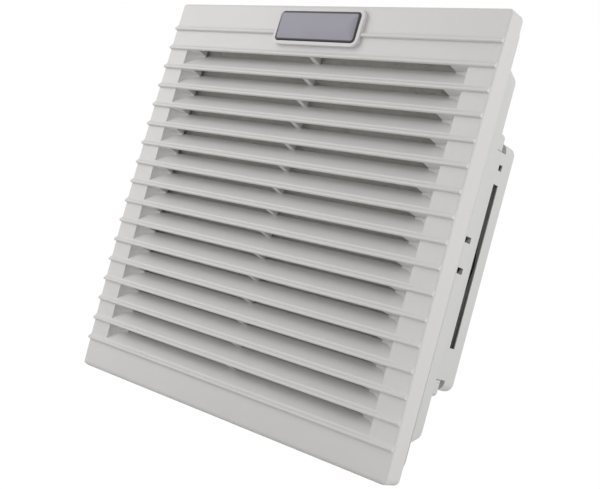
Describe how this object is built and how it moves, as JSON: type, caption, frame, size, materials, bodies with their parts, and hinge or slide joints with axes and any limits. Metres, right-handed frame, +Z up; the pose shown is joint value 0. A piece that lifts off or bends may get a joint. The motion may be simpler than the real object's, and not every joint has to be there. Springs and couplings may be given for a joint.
{
  "type": "enclosure filter fan",
  "caption": "Axial fan for a cabinet panel: louvred hinged cover, filter mat, snap-in frame and a box holding an external-rotor fan.",
  "frame": {"origin": "centre of the panel cut-out, in the plane of the panel's front face", "axes": "+Y into the cabinet along the fan's axis, +Z up, +X to the right as seen from the front; the cover faces -Y"},
  "size_m": [0.252, 0.1078, 0.252],
  "materials": {
    "cover_grey": "fine moulded texture",
    "housing_grey": "satin moulded",
    "badge_metal": "satin dark anodised",
    "fleece": "needled filter fleece",
    "foam": "closed-cell foam",
    "cast_metal": "black painted die-casting",
    "steel": "bright zinc",
    "copper": "enamelled copper wire",
    "rotor_paint": "black coated steel",
    "aluminium": "cast",
    "black_plastic": "glass-filled",
    "brass": "plain"
  },
  "bodies": {
    "frame": {"mounting_frame": "housing_grey", "flange_gasket": "foam", "filter_mat": "fleece", "filter_grid": "housing_grey", "rear_housing": "housing_grey", "fan_frame": "cast_metal", "stator_core": "steel", "winding_front": "copper", "winding_rear": "copper", "front_bearing": "steel", "rear_bearing": "steel", "wave_washer": "steel", "finger_guard": "steel", "guard_screw_lower_left": "steel", "guard_screw_upper_left": "steel", "guard_screw_lower_right": "steel", "guard_screw_upper_right": "steel", "guard_nut_lower_left": "steel", "guard_nut_upper_left": "steel", "guard_nut_lower_right": "steel", "guard_nut_upper_right": "steel", "terminal_block": "black_plastic", "clamp_screw_1": "brass", "clamp_screw_2": "brass", "clamp_screw_3": "brass", "terminal_screw_lower": "steel", "terminal_screw_upper": "steel", "earth_tab": "brass"},
    "cover": {"cover_grille": "cover_grey", "badge_plate": "badge_metal"},
    "rotor": {"impeller": "black_plastic", "motor_shaft": "steel", "retaining_ring": "steel", "rotor_cup": "rotor_paint", "rotor_cage": "aluminium"}
  },
  "joints": [
    {"name": "cover_swing", "type": "hinge", "parent": "frame", "child": "cover", "pos_m": [0, -0.0068, -0.1218], "axis": [1, 0, 0], "range_deg": [0, 75]},
    {"name": "fan_spin", "type": "hinge", "parent": "frame", "child": "rotor", "pos_m": [0, 0.0543, 0], "axis": [0, 1, 0], "continuous": true}
  ]
}
